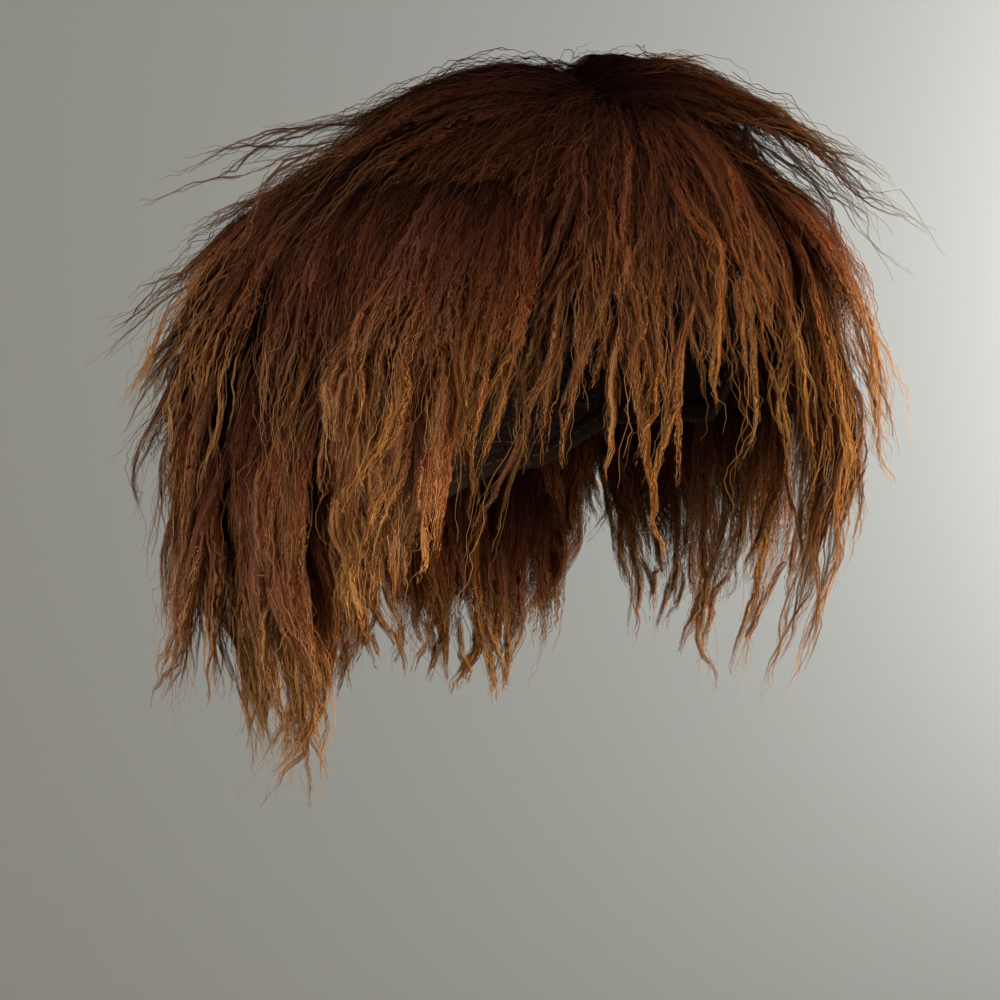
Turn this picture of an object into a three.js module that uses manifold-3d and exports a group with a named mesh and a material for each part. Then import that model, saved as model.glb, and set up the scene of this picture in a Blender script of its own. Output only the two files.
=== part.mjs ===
// A short, shaggy wig of crimped brown hair. A thin stretch cap, open below for the head, carries rows of
// wefts: each weft is a narrow sewn band with a row of flat, tapering locks that hang over the row below it.
// Millimetres, +Z up, the face towards -Y. The origin is where the top of the head touches the cap.
// "turn" is the angle round the head from the face, positive towards the wearer's left. "fall" is the angle
// down from the top of the head. "reach" is how far outside the head's widest outline a lock's tip lies, and
// "drop" is how far below the origin.

import * as THREE from "three";
import { mergeVertices } from "three/addons/utils/BufferGeometryUtils.js";
import Module from "manifold-3d";

const wasm = await Module();
wasm.setup();

// Head that the wig fits, 550 mm round
const HEAD_HALF_WIDTH = 77;
const HEAD_HALF_DEPTH = 97;
const HEAD_RISE = 105;
const WHORL_TILT = 24;
const HEAD_COLUMNS = 24;
const HEAD_SHELL = 30;

// Cap
const CAP_WALL = 1.6;
const CAP_COLUMNS = 32;
const CAP_ROWS = 6;
const CAP_EDGE = [
  { turn: 0, fall: 57 },
  { turn: 35, fall: 62 },
  { turn: 62, fall: 84 },
  { turn: 80, fall: 96 },
  { turn: 108, fall: 98 },
  { turn: 135, fall: 109 },
  { turn: 180, fall: 121 },
];

// Locks
const LOCK_SIDES = 4;
const LOCK_STEPS = 4;
const TIP_HALF_WIDTH = 0.9;
const TIP_HALF_THICKNESS = 0.6;
const BEND_SHARE = 0.42;
const OUTWARD_CENTRE = new THREE.Vector3(0, 0, -140);

// Wefts
const CLEARANCE = 0.3;
const CUT_GAP = 0.4;
const BAND_HALF_HEIGHT = 3;
const BAND_THICKNESS = 2.2;
const BAND_STEP = 16;

// One row for each weft, from the outermost to the innermost. lift and flick are the angles at which a lock
// leaves the head and ends: 0 lies along the head or hangs straight down, 90 stands straight out. The drop
// changes evenly along the row, from drop to dropTo.
const WEFTS = [
  { name: "fringe_weft", from: -66, to: 50, locks: 9, tilt: WHORL_TILT, fall: 13, reach: 11,
    drop: 144, dropTo: 140, lift: 52, flick: -5, halfWidth: 15, halfThickness: 5, uneven: 0.8 },
  { name: "left_crown_weft", from: 44, to: 110, locks: 5, tilt: WHORL_TILT, fall: 7, reach: 46,
    drop: 66, dropTo: 66, lift: 66, flick: 44, halfWidth: 18, halfThickness: 7, uneven: 1.0 },
  { name: "right_crown_weft", from: -110, to: -58, locks: 4, tilt: WHORL_TILT, fall: 7, reach: 38,
    drop: 88, dropTo: 106, lift: 60, flick: 26, halfWidth: 19, halfThickness: 7, uneven: 1.0 },
  { name: "back_crown_weft", from: 114, to: 246, locks: 7, tilt: WHORL_TILT, fall: 7, reach: 52,
    drop: 72, dropTo: 72, lift: 18, flick: 54, halfWidth: 24, halfThickness: 7, uneven: 1.0 },
  { name: "right_upper_weft", from: -104, to: -54, locks: 5, tilt: 0, fall: 38, reach: 48,
    drop: 140, dropTo: 140, lift: 44, flick: 10, halfWidth: 20, halfThickness: 7, uneven: 0.8 },
  { name: "left_upper_weft", from: 44, to: 104, locks: 5, tilt: 0, fall: 38, reach: 54,
    drop: 130, dropTo: 130, lift: 50, flick: 14, halfWidth: 20, halfThickness: 7, uneven: 0.8 },
  { name: "back_upper_weft", from: 107, to: 253, locks: 8, tilt: 0, fall: 36, reach: 62,
    drop: 120, dropTo: 120, lift: 30, flick: 32, halfWidth: 24, halfThickness: 7, uneven: 0.9 },
  { name: "back_middle_weft", from: 110, to: 250, locks: 8, tilt: 0, fall: 64, reach: 60,
    drop: 168, dropTo: 168, lift: 54, flick: 14, halfWidth: 24, halfThickness: 8, uneven: 0.8 },
  { name: "right_lower_weft", from: -104, to: -56, locks: 4, tilt: 0, fall: 68, reach: 27,
    drop: 226, dropTo: 184, lift: 48, flick: -6, halfWidth: 18, halfThickness: 7, uneven: 0.6 },
  { name: "left_lower_weft", from: 54, to: 104, locks: 4, tilt: 0, fall: 68, reach: 34,
    drop: 186, dropTo: 222, lift: 58, flick: -12, halfWidth: 19, halfThickness: 7, uneven: 0.6 },
  { name: "back_lower_weft", from: 106, to: 256, locks: 8, tilt: 0, fall: 86, reach: 50,
    drop: 212, dropTo: 212, lift: 60, flick: 4, halfWidth: 23, halfThickness: 8, uneven: 0.6 },
  { name: "nape_weft", from: 130, to: 230, locks: 6, tilt: 0, fall: 104, reach: 22,
    drop: 230, dropTo: 230, lift: 44, flick: 0, halfWidth: 20, halfThickness: 7, uneven: 0.6 },
];
const MOST_LOCKS = 40;
const UNEVEN = { turn: 0.3, reach: 13, drop: 22, width: 0.2, swing: 6 };

// Locks that stand out of their row: spikes at the outline, long fringe locks and the tail behind the ear
const STRAYS = [
  { weft: "left_crown_weft", turn: 54, tipTurn: 54, reach: 72, drop: 44, flick: 64, halfWidth: 14 },
  { weft: "left_crown_weft", turn: 40, tipTurn: 40, reach: 30, drop: 8, flick: 80, halfWidth: 10 },
  { weft: "back_crown_weft", turn: 231, tipTurn: 231, reach: 66, drop: 24, flick: 80, halfWidth: 8 },
  { weft: "back_crown_weft", turn: 238, tipTurn: 238, reach: 80, drop: 70, flick: 64, halfWidth: 9 },
  { weft: "fringe_weft", turn: -40, tipTurn: -54, reach: 13, drop: 176, flick: -2, halfWidth: 9 },
  { weft: "fringe_weft", turn: -9, tipTurn: -11, reach: 10, drop: 160, flick: -4, halfWidth: 9 },
  { weft: "back_upper_weft", turn: 230, tipTurn: 230, reach: 76, drop: 92, flick: 58, halfWidth: 11 },
  { weft: "left_lower_weft", turn: 60, tipTurn: 58, reach: 14, drop: 216, flick: -16, halfWidth: 11 },
  { weft: "back_lower_weft", turn: 253, tipTurn: 259, reach: 34, drop: 248, flick: -14, halfWidth: 14 },
];

const HAIR_COLOUR = 0x4a2a17;
const CAP_COLOUR = 0x2a1a12;
const radians = THREE.MathUtils.degToRad;

// A point on the head, or "off" outside it, with the top of the head leant forward by "tilt"
function headPoint(turn, fall, off, tilt = 0) {
  const [t, f, lean] = [turn, fall, tilt].map(radians);
  const side = Math.sin(f) * Math.sin(t);
  const back = -Math.sin(f) * Math.cos(t);
  const up = Math.cos(f);
  return new THREE.Vector3(
    (HEAD_HALF_WIDTH + off) * side,
    (HEAD_HALF_DEPTH + off) * (back * Math.cos(lean) - up * Math.sin(lean)),
    (HEAD_RISE + off) * (back * Math.sin(lean) + up * Math.cos(lean)) - HEAD_RISE,
  );
}

// How far down the cap's edge lies at a turn round the head, eased between the rows of its table
function capEdge(turn) {
  const around = Math.abs(((turn + 540) % 360) - 180);
  const last = CAP_EDGE.findIndex((row, i) => i > 0 && around <= row.turn);
  const [low, high] = [CAP_EDGE[last - 1], CAP_EDGE[last]];
  const share = THREE.MathUtils.smoothstep(around, low.turn, high.turn);
  return THREE.MathUtils.lerp(low.fall, high.fall, share);
}

// A closed geometry as a solid, with its seams and poles merged
function solidOf(geometry) {
  geometry.deleteAttribute("normal");
  geometry.deleteAttribute("uv");
  const merged = mergeVertices(geometry, 1e-3);
  const corners = merged.index.array;
  const triVerts = [];
  for (let i = 0; i < corners.length; i += 3) {
    const [a, b, c] = corners.subarray(i, i + 3);
    if (a !== b && b !== c && c !== a) triVerts.push(a, b, c);
  }
  return new wasm.Manifold(
    new wasm.Mesh({
      numProp: 3,
      vertProperties: merged.attributes.position.array,
      triVerts: new Uint32Array(triVerts),
    }),
  );
}

// Moves every vertex of a geometry to where "place" puts it
function reshape(geometry, place) {
  const spots = geometry.attributes.position;
  const spot = new THREE.Vector3();
  for (let i = 0; i < spots.count; i++) {
    const moved = place(spot.fromBufferAttribute(spots, i));
    spots.setXYZ(i, moved.x, moved.y, moved.z);
  }
  return geometry;
}

// A shell on the head, from "inner" to "outer" off it: a lathed wall in units of its own rows, wrapped on the
// head so that its edge follows the hairline
function shellSolid(inner, outer) {
  const profile = [];
  for (let row = 0; row <= CAP_ROWS; row++) profile.push(new THREE.Vector2(row, outer));
  for (let row = CAP_ROWS; row >= 0; row--) profile.push(new THREE.Vector2(row, inner));
  const wall = new THREE.LatheGeometry(profile, CAP_COLUMNS);
  return solidOf(
    reshape(wall, (spot) => {
      const turn = THREE.MathUtils.radToDeg(Math.atan2(spot.x, -spot.z));
      const share = Math.hypot(spot.x, spot.z) / CAP_ROWS;
      return headPoint(turn, share * capEdge(turn), spot.y);
    }),
  );
}

// The head with the cap on it, which no hair enters
function headSolid() {
  const ball = new THREE.SphereGeometry(1, HEAD_COLUMNS, HEAD_COLUMNS / 2);
  const size = new THREE.Vector3(HEAD_HALF_WIDTH, HEAD_HALF_DEPTH, HEAD_RISE);
  const head = solidOf(
    reshape(ball, (spot) => spot.set(spot.x, -spot.z, spot.y).multiply(size).setZ(spot.z - HEAD_RISE)),
  );
  return head.add(shellSolid(-HEAD_SHELL, CAP_WALL + CLEARANCE));
}

// An even-handed number from 0 to 1 for a lock and a purpose, the same on every run
function chance(lock, purpose) {
  const wave = Math.sin(lock * 127.1 + purpose * 311.7) * 43758.5453;
  return wave - Math.floor(wave);
}

// The locks of one weft: an uneven row, and the strays that grow from it
function locksOf(weft) {
  const first = MOST_LOCKS * WEFTS.indexOf(weft);
  const pitch = (weft.to - weft.from) / weft.locks;
  const row = Array.from({ length: weft.locks }, (_, i) => {
    const spread = (purpose) => weft.uneven * (2 * chance(first + i, purpose) - 1);
    const turn = weft.from + pitch * (i + 0.5 + UNEVEN.turn * spread(1));
    return {
      ...weft,
      turn,
      tipTurn: turn + UNEVEN.swing * spread(5),
      reach: weft.reach + UNEVEN.reach * spread(2),
      drop: THREE.MathUtils.lerp(weft.drop, weft.dropTo, (i + 0.5) / weft.locks) + UNEVEN.drop * spread(3),
      halfWidth: weft.halfWidth * (1 + UNEVEN.width * spread(4)),
    };
  });
  const strays = STRAYS.filter((stray) => stray.weft === weft.name);
  return [...row, ...strays.map((stray) => ({ ...weft, ...stray }))];
}

// The line that a lock follows from its band to its tip
function guideOf(lock) {
  const off = CAP_WALL + CLEARANCE + BAND_THICKNESS / 2;
  const root = headPoint(lock.turn, lock.fall, off, lock.tilt);
  const slope = headPoint(lock.turn, lock.fall + 1, off, lock.tilt).sub(root).normalize();
  const normal = headPoint(lock.turn, lock.fall, off + 1, lock.tilt).sub(root).normalize();
  const tip = headPoint(lock.tipTurn, 90, lock.reach).setZ(-lock.drop);
  const outward = new THREE.Vector3(tip.x, tip.y, 0).normalize();
  const bend = BEND_SHARE * root.distanceTo(tip);
  const [lift, flick] = [radians(lock.lift), radians(lock.flick)];
  const start = slope.multiplyScalar(Math.cos(lift)).addScaledVector(normal, Math.sin(lift));
  const end = outward.multiplyScalar(Math.sin(flick)).setZ(-Math.cos(flick));
  return new THREE.CubicBezierCurve3(
    root,
    root.clone().addScaledVector(start, bend),
    tip.clone().addScaledVector(end, -bend),
    tip,
  );
}

// How wide and thick a lock is along its length, as shares of its half width and half thickness
const widthShare = (along) => (0.5 + 0.8 * along) * (1 - along ** 2.6);
const thicknessShare = (along) => (0.45 + 0.9 * along) * (1 - along ** 2.2);

// One lock: a round bar flattened, bent along its guide and drawn out to a tip
function lockSolid(lock, grow) {
  const guide = guideOf(lock);
  const bar = new THREE.CylinderGeometry(1, 1, 1, LOCK_SIDES, LOCK_STEPS);
  return solidOf(
    reshape(bar, (spot) => {
      const along = spot.y + 0.5;
      const centre = guide.getPoint(along);
      const forward = guide.getTangent(along);
      const outward = centre.clone().sub(OUTWARD_CENTRE);
      outward.addScaledVector(forward, -outward.dot(forward)).normalize();
      const across = forward.clone().cross(outward);
      const wide = Math.max(lock.halfWidth * widthShare(along), TIP_HALF_WIDTH) + grow;
      const thick = Math.max(lock.halfThickness * thicknessShare(along), TIP_HALF_THICKNESS) + grow;
      return centre
        .addScaledVector(forward, 2 * spot.y * grow)
        .addScaledVector(across, spot.x * wide)
        .addScaledVector(outward, spot.z * thick);
    }),
  );
}

// The sewn band that a weft's locks grow from, curved round the head
function bandSolid(weft, grow) {
  const steps = Math.round((weft.to - weft.from) / BAND_STEP);
  const strip = new THREE.BoxGeometry(1, 1, 1, steps, 1, 1);
  const rise = THREE.MathUtils.radToDeg((BAND_HALF_HEIGHT + grow) / HEAD_RISE);
  return solidOf(
    reshape(strip, (spot) =>
      headPoint(
        THREE.MathUtils.lerp(weft.from, weft.to, spot.x + 0.5),
        weft.fall - 2 * spot.y * rise,
        CAP_WALL + (spot.z > 0 ? CLEARANCE + BAND_THICKNESS + grow : 0),
        weft.tilt,
      ),
    ),
  );
}

// A weft's band and locks as one solid, or the same a little larger as a cutter
function weftSolid(weft, locks, grow = 0) {
  return locks.reduce((made, lock) => made.add(lockSolid(lock, grow)), bandSolid(weft, grow));
}

// The largest body of a solid that a cut may have split
function mainBody(solid) {
  return solid.decompose().reduce((best, body) => (body.volume() > best.volume() ? body : best));
}

function meshOf(name, solid, colour) {
  const { vertProperties, triVerts } = solid.getMesh();
  const geometry = new THREE.BufferGeometry();
  geometry.setAttribute("position", new THREE.BufferAttribute(vertProperties, 3));
  geometry.setIndex(new THREE.BufferAttribute(triVerts, 1));
  geometry.computeVertexNormals();
  const material = new THREE.MeshStandardMaterial({ color: colour, roughness: 0.7, metalness: 0 });
  const mesh = new THREE.Mesh(geometry, material);
  mesh.name = name;
  return mesh;
}

// The wig: each weft gives way to the head and to the wefts that lie over it
const wig = new THREE.Group();
wig.add(meshOf("cap", shellSolid(0, CAP_WALL), CAP_COLOUR));
let over = headSolid();
for (const weft of WEFTS) {
  const locks = locksOf(weft);
  const solid = weftSolid(weft, locks);
  wig.add(meshOf(weft.name, mainBody(solid.subtract(over)), HAIR_COLOUR));
  over = over.add(solid).add(weftSolid(weft, locks, CUT_GAP));
}

export default wig;
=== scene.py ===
"""The looks of the short wig: its net cap and its twelve wefts of crimped brown hair.

Sizes are in metres and angles in degrees. A turn goes round the cap from the front towards its left, and
a fall goes down the cap from its top.
"""

import math

import bmesh
import bpy
import numpy as np
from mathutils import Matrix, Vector


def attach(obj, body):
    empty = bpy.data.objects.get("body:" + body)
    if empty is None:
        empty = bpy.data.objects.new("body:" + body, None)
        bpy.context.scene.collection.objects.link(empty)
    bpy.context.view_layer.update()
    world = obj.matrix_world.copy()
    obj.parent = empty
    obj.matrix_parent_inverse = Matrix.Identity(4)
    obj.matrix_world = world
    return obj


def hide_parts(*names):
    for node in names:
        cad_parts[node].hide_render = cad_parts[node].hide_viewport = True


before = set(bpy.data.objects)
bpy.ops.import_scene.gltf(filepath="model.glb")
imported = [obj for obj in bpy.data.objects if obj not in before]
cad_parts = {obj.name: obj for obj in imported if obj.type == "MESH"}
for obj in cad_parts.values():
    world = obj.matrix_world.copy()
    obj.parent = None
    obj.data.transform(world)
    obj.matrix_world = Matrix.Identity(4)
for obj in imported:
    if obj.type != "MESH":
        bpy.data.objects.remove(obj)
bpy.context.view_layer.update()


# Cap
# A close cap of dark stretch net, 1.6 mm thick, high in front and low at the nape, that carries every weft.
# It is one sewn shell with a soft tape bound round its edge and stitched tracks inside its back and sides.

FORM_HALF_WIDTH = 0.077
FORM_HALF_DEPTH = 0.097
FORM_RISE = 0.105
FORM_MIDDLE = (0.0, 0.0, -FORM_RISE)
CAP_WALL = 0.0016
CAP_EDGE = ((0, 57), (35, 62), (62, 84), (80, 96), (108, 98), (135, 109), (180, 121))
CAP_COLUMNS = 96
CAP_ROWS = 24


def form_point(turn, fall, off, tilt=0.0):
    """A point at a distance off the cap's inner form, whose top may be tilted forward."""
    turn, fall, lean = math.radians(turn), math.radians(fall), math.radians(tilt)
    side = math.sin(fall) * math.sin(turn)
    back = -math.sin(fall) * math.cos(turn)
    up = math.cos(fall)
    return np.array([
        (FORM_HALF_WIDTH + off) * side,
        (FORM_HALF_DEPTH + off) * (back * math.cos(lean) - up * math.sin(lean)),
        (FORM_RISE + off) * (back * math.sin(lean) + up * math.cos(lean)) - FORM_RISE,
    ])


def cap_edge(turn):
    """The fall of the cap's edge at a turn."""
    turn = abs((turn + 180) % 360 - 180)
    for (start, high), (end, low) in zip(CAP_EDGE, CAP_EDGE[1:]):
        if turn <= end:
            share = (turn - start) / (end - start)
            return high + (low - high) * share * share * (3 - 2 * share)
    return CAP_EDGE[-1][1]


def mesh_object(name, points, faces, material):
    """A smooth mesh object at the origin, from points and faces in the frame of the part."""
    mesh = bpy.data.meshes.new(name)
    mesh.from_pydata([tuple(p) for p in points], [], faces)
    mesh.polygons.foreach_set("use_smooth", [True] * len(mesh.polygons))
    mesh.materials.append(material)
    made = bpy.data.objects.new(name, mesh)
    bpy.context.scene.collection.objects.link(made)
    return made


class Wire:
    """A node socket that sums are written with: each operator adds the node that works it out."""

    def __init__(self, socket):
        self.socket = socket
        self.tree = socket.id_data

    @staticmethod
    def node(tree, kind, settings=None, inputs=None, output=0):
        """Adds one node: its settings first, then the values or wires of its sockets."""
        made = tree.nodes.new(kind)
        for name, value in (settings or {}).items():
            setattr(made, name, value)
        for name, value in (inputs or {}).items():
            if isinstance(value, Wire):
                tree.links.new(value.socket, made.inputs[name])
            else:
                made.inputs[name].default_value = value
        return Wire(made.outputs[output])

    def other(self, name):
        """Another output of the same node."""
        return Wire(self.socket.node.outputs[name])

    def sum(self, operation, *values):
        """A Math node, or a Vector Math node where one of the values is a vector."""
        vector = any(map(is_vector, values))
        kind = "ShaderNodeVectorMath" if vector else "ShaderNodeMath"
        output = 1 if operation in ("DOT_PRODUCT", "LENGTH") else 0
        return Wire.node(self.tree, kind, {"operation": operation}, dict(enumerate(values)), output)

    def __add__(self, other):
        return self.sum("ADD", self, other)

    def __radd__(self, other):
        return self.sum("ADD", other, self)

    def __sub__(self, other):
        return self.sum("SUBTRACT", self, other)

    def __rsub__(self, other):
        return self.sum("SUBTRACT", other, self)

    def __mul__(self, other):
        if is_vector(self) == is_vector(other):
            return self.sum("MULTIPLY", self, other)
        vector, scale = (self, other) if is_vector(self) else (other, self)
        return Wire.node(self.tree, "ShaderNodeVectorMath", {"operation": "SCALE"}, {0: vector, 3: scale})

    __rmul__ = __mul__

    def __truediv__(self, other):
        return self.sum("DIVIDE", self, other)

    def __rtruediv__(self, other):
        return self.sum("DIVIDE", other, self)

    def __pow__(self, other):
        return self.sum("POWER", self, other)

    def __mod__(self, other):
        return self.sum("FLOORED_MODULO", self, other)


def is_vector(value):
    """Whether a value or a wire has three parts."""
    if isinstance(value, Wire):
        return value.socket.type in ("VECTOR", "RGBA")
    return isinstance(value, tuple)


def between(value, low, high, start=0.0, end=1.0):
    """A smooth step of a wire: start up to low, end from high."""
    return Wire.node(value.tree, "ShaderNodeMapRange", {"interpolation_type": "SMOOTHSTEP"},
                     {0: value, 1: low, 2: high, 3: start, 4: end})


# The mark called band says what a point of the cap is: 0 for net, 1 for tape or track, 2 for thread.
NET_CELLS_PER_METRE = 520.0
WEAVE_PER_METRE = 1800.0
# The net's holes are painted near black, as the shade seen through them.
hole_shade_colour = (0.0045, 0.0026, 0.0018)
net_thread_colour = (0.016, 0.0085, 0.0055)
tape_colour = (0.012, 0.0058, 0.0034)
stitch_colour = (0.06, 0.027, 0.014)
net = bpy.data.materials.new("cap_net")
net.use_nodes = True
net_tree = net.node_tree
net_shader = net_tree.nodes["Principled BSDF"]
net_place = Wire.node(net_tree, "ShaderNodeTexCoord", output="Object")
net_cells = Wire.node(net_tree, "ShaderNodeTexVoronoi", {"feature": "DISTANCE_TO_EDGE"},
                      {"Vector": net_place, "Scale": NET_CELLS_PER_METRE})
net_threads = between(net_cells, 0.03, 0.22, 1.0, 0.0)
net_band = Wire.node(net_tree, "ShaderNodeAttribute", {"attribute_name": "band"}, output="Fac")
is_band = between(net_band, 0.4, 0.6)
is_thread = between(net_band, 1.4, 1.6)
band_weave = Wire.node(net_tree, "ShaderNodeTexNoise", {},
                       {"Vector": net_place, "Scale": WEAVE_PER_METRE, "Detail": 2.0})
net_colour = hole_shade_colour + net_threads * net_thread_colour
band_colour = tape_colour * (0.5 + band_weave)
thread_colour = stitch_colour * (0.7 + 0.6 * band_weave)
cap_colour = net_colour * (1 - is_band) + band_colour * (is_band - is_thread) + thread_colour * is_thread
net_tree.links.new(cap_colour.socket, net_shader.inputs["Base Color"])
net_height = net_threads * (1 - is_band) + band_weave * is_band
net_bump = Wire.node(net_tree, "ShaderNodeBump", {}, {
    "Strength": 0.7, "Distance": 0.0004, "Height": net_height})
net_tree.links.new(net_bump.socket, net_shader.inputs["Normal"])
net_shader.inputs["Roughness"].default_value = 0.9
net_shader.inputs["Specular IOR Level"].default_value = 0.1

cap_points = []
cap_faces = []
for off in (0.0, CAP_WALL):
    cap_points.append(form_point(0, 0, off))
    for row in range(1, CAP_ROWS + 1):
        for column in range(CAP_COLUMNS):
            turn = 360 * column / CAP_COLUMNS
            cap_points.append(form_point(turn, cap_edge(turn) * row / CAP_ROWS, off))
side_count = 1 + CAP_ROWS * CAP_COLUMNS
for column in range(CAP_COLUMNS):
    after = (column + 1) % CAP_COLUMNS
    cap_faces.append((0, 1 + after, 1 + column))
    cap_faces.append((side_count, side_count + 1 + column, side_count + 1 + after))
    for row in range(CAP_ROWS - 1):
        near, far = 1 + row * CAP_COLUMNS, 1 + (row + 1) * CAP_COLUMNS
        inner = (near + column, near + after, far + after, far + column)
        cap_faces.append(inner)
        cap_faces.append(tuple(side_count + i for i in reversed(inner)))
    last = 1 + (CAP_ROWS - 1) * CAP_COLUMNS
    cap_faces.append((last + column, last + after, side_count + last + after, side_count + last + column))
net_count = len(cap_points)

STITCH_GAP = 0.0050
STITCH_LENGTH = 0.0034
STITCH_THICKNESS = 0.0007
STITCH_OFF = -0.0009
TAPE_COLUMNS = 160
TAPE_SEAM = -1.8
TAPE_SECTION = ((-3.8, 0.0017), (-3.4, 0.0025), (0.1, 0.0025), (0.8, 0.0017), (0.8, -0.0001), (0.1, -0.0009),
                (-3.4, -0.0009), (-3.8, -0.0001))
TRACK_STEP = 3
TRACK_SEAM = 0.0
TRACK_SECTION = ((-1.1, 0.0002), (-0.8, -0.0008), (0.8, -0.0008), (1.1, 0.0002))
# Each track has its fall and the turns of its two ends.
BACK_TRACKS = ((104, 130, 230), (95, 118, 242), (86, 106, 256), (75, 108, 252), (64, 110, 250),
               (50, 108, 252), (36, 107, 253))
SIDE_TRACKS = ((68, 54, 104), (53, 50, 104), (38, 44, 104), (68, 256, 306), (53, 256, 310), (38, 256, 306))
stitch_points = []
stitch_edges = []


def sew_band(turns, middle, section, ring, seam):
    """Adds one band to the cap, a section of falls and offs carried round it, and its line of stitches."""
    first, size, lines = len(cap_points), len(section), len(stitch_points)
    for turn in turns:
        cap_points.extend(form_point(turn, middle(turn) + fall, off) for fall, off in section)
        stitch_points.append(form_point(turn, middle(turn) + seam, STITCH_OFF))
    for i in range(len(turns) - (0 if ring else 1)):
        after = (i + 1) % len(turns)
        stitch_edges.append((lines + i, lines + after))
        for k in range(size):
            other = (k + 1) % size
            cap_faces.append((first + i * size + k, first + after * size + k, first + after * size + other,
                              first + i * size + other))
    if not ring:
        cap_faces.append(tuple(first + k for k in range(size)))
        cap_faces.append(tuple(first + (len(turns) - 1) * size + k for k in reversed(range(size))))


sew_band([360 * i / TAPE_COLUMNS for i in range(TAPE_COLUMNS)], cap_edge, TAPE_SECTION, True, TAPE_SEAM)
for track_fall, track_start, track_end in BACK_TRACKS + SIDE_TRACKS:
    track_turns = np.linspace(track_start, track_end, 2 + (track_end - track_start) // TRACK_STEP)
    sew_band(list(track_turns), lambda turn, fall=track_fall: fall, TRACK_SECTION, False, TRACK_SEAM)


def make_stitch_tree():
    """The Geometry Nodes tree that lays a row of short threads along the lines of a seam."""
    tree = bpy.data.node_groups.new("Sewn row", "GeometryNodeTree")
    for name, kind in (
        ("Seams", "NodeSocketGeometry"),
        ("Gap", "NodeSocketFloat"),
        ("Length", "NodeSocketFloat"),
        ("Thickness", "NodeSocketFloat"),
        ("Material", "NodeSocketMaterial"),
    ):
        tree.interface.new_socket(name, in_out="INPUT", socket_type=kind)
    tree.interface.new_socket("Stitches", in_out="OUTPUT", socket_type="NodeSocketGeometry")
    given = {socket.name: Wire(socket) for socket in tree.nodes.new("NodeGroupInput").outputs if socket.name}
    seam = Wire.node(tree, "GeometryNodeMeshToCurve", {}, {"Mesh": given["Seams"]})
    spots = Wire.node(tree, "GeometryNodeCurveToPoints", {"mode": "LENGTH"}, {
        "Curve": seam, "Length": given["Gap"]})
    thread = Wire.node(tree, "GeometryNodeMeshUVSphere", {}, {"Segments": 5, "Rings": 4, "Radius": 1.0})
    girth = given["Thickness"] * 0.5
    size = Wire.node(tree, "ShaderNodeCombineXYZ", {}, {0: girth, 1: girth, 2: given["Length"] * 0.5})
    laid = Wire.node(tree, "GeometryNodeInstanceOnPoints", {}, {
        "Points": spots, "Instance": thread, "Rotation": spots.other("Rotation"), "Scale": size})
    real = Wire.node(tree, "GeometryNodeRealizeInstances", {}, {"Geometry": laid})
    marked = Wire.node(tree, "GeometryNodeStoreNamedAttribute", {"data_type": "FLOAT", "domain": "POINT"},
                       {"Geometry": real, "Name": "band", "Value": 2.0})
    done = Wire.node(tree, "GeometryNodeSetMaterial", {}, {"Geometry": marked, "Material": given["Material"]})
    tree.links.new(done.socket, tree.nodes.new("NodeGroupOutput").inputs["Stitches"])
    return tree


def grow(holder, tree, values):
    """Runs a Geometry Nodes tree on an object and gives back the plain mesh that it makes."""
    modifier = holder.modifiers.new(tree.name, "NODES")
    modifier.node_group = tree
    for socket in tree.interface.items_tree:
        if socket.in_out == "INPUT" and socket.name in values:
            modifier[socket.identifier] = values[socket.name]
    made = bpy.data.meshes.new_from_object(holder.evaluated_get(bpy.context.evaluated_depsgraph_get()))
    holder.modifiers.clear()
    return made


seams_mesh = bpy.data.meshes.new("cap_seams")
seams_mesh.from_pydata([tuple(p) for p in stitch_points], stitch_edges, [])
seams = bpy.data.objects.new("cap_seams", seams_mesh)
bpy.context.scene.collection.objects.link(seams)
stitches = grow(seams, make_stitch_tree(), {
    "Gap": STITCH_GAP, "Length": STITCH_LENGTH, "Thickness": STITCH_THICKNESS, "Material": net})
bpy.data.objects.remove(seams)

cap = mesh_object("cap_shell", cap_points, cap_faces, net)
bands = np.zeros(len(cap_points))
bands[net_count:] = 1.0
cap.data.attributes.new("band", "FLOAT", "POINT").data.foreach_set("value", bands)
cap_build = bmesh.new()
cap_build.from_mesh(cap.data)
bmesh.ops.recalc_face_normals(cap_build, faces=cap_build.faces)
cap_build.from_mesh(stitches)
cap_build.to_mesh(cap.data)
cap_build.free()
cap.data.polygons.foreach_set("use_smooth", [True] * len(cap.data.polygons))
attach(cap, "root")
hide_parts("cap")


# Nape weft
# The lowest row: a machine-sewn weft of crimped fibre in six locks, stitched to the net at the nape.
# Fine brown heat-set synthetic hair, dark at the root and lighter where it thins out at the tips, with
# painted shade at the roots and a painted glow of light through the tips.

WHORL_TILT = 24
BAND_GAP = 0.0003
BAND_HALF_THICKNESS = 0.0011
LIFT_OFF_FORM = CAP_WALL + BAND_GAP + BAND_HALF_THICKNESS
MOST_LOCKS = 40
UNEVEN_TURN = 0.3
UNEVEN_REACH = 0.013
UNEVEN_DROP = 0.022
UNEVEN_WIDTH = 0.2
UNEVEN_SWING = 6
BEND_SHARE = 0.42
CURVE_STEPS = 33

hair = bpy.data.materials.new("hair")
hair.use_nodes = True
hair_tree = hair.node_tree
hair_shader = hair_tree.nodes["Principled BSDF"]


def hair_attribute(name):
    """A value that the hair tree keeps on the fibres."""
    return Wire.node(hair_tree, "ShaderNodeAttribute", {"attribute_name": name}, output="Fac")


def hair_noise(kind_along, kind_across, detail):
    """Smooth noise over the length and the width of a ribbon of hairs."""
    spot = Wire.node(hair_tree, "ShaderNodeCombineXYZ", {}, {0: kind_along, 1: kind_across})
    return Wire.node(hair_tree, "ShaderNodeTexNoise", {"noise_dimensions": "2D"},
                     {"Vector": spot, "Scale": 1.0, "Detail": detail})


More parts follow.
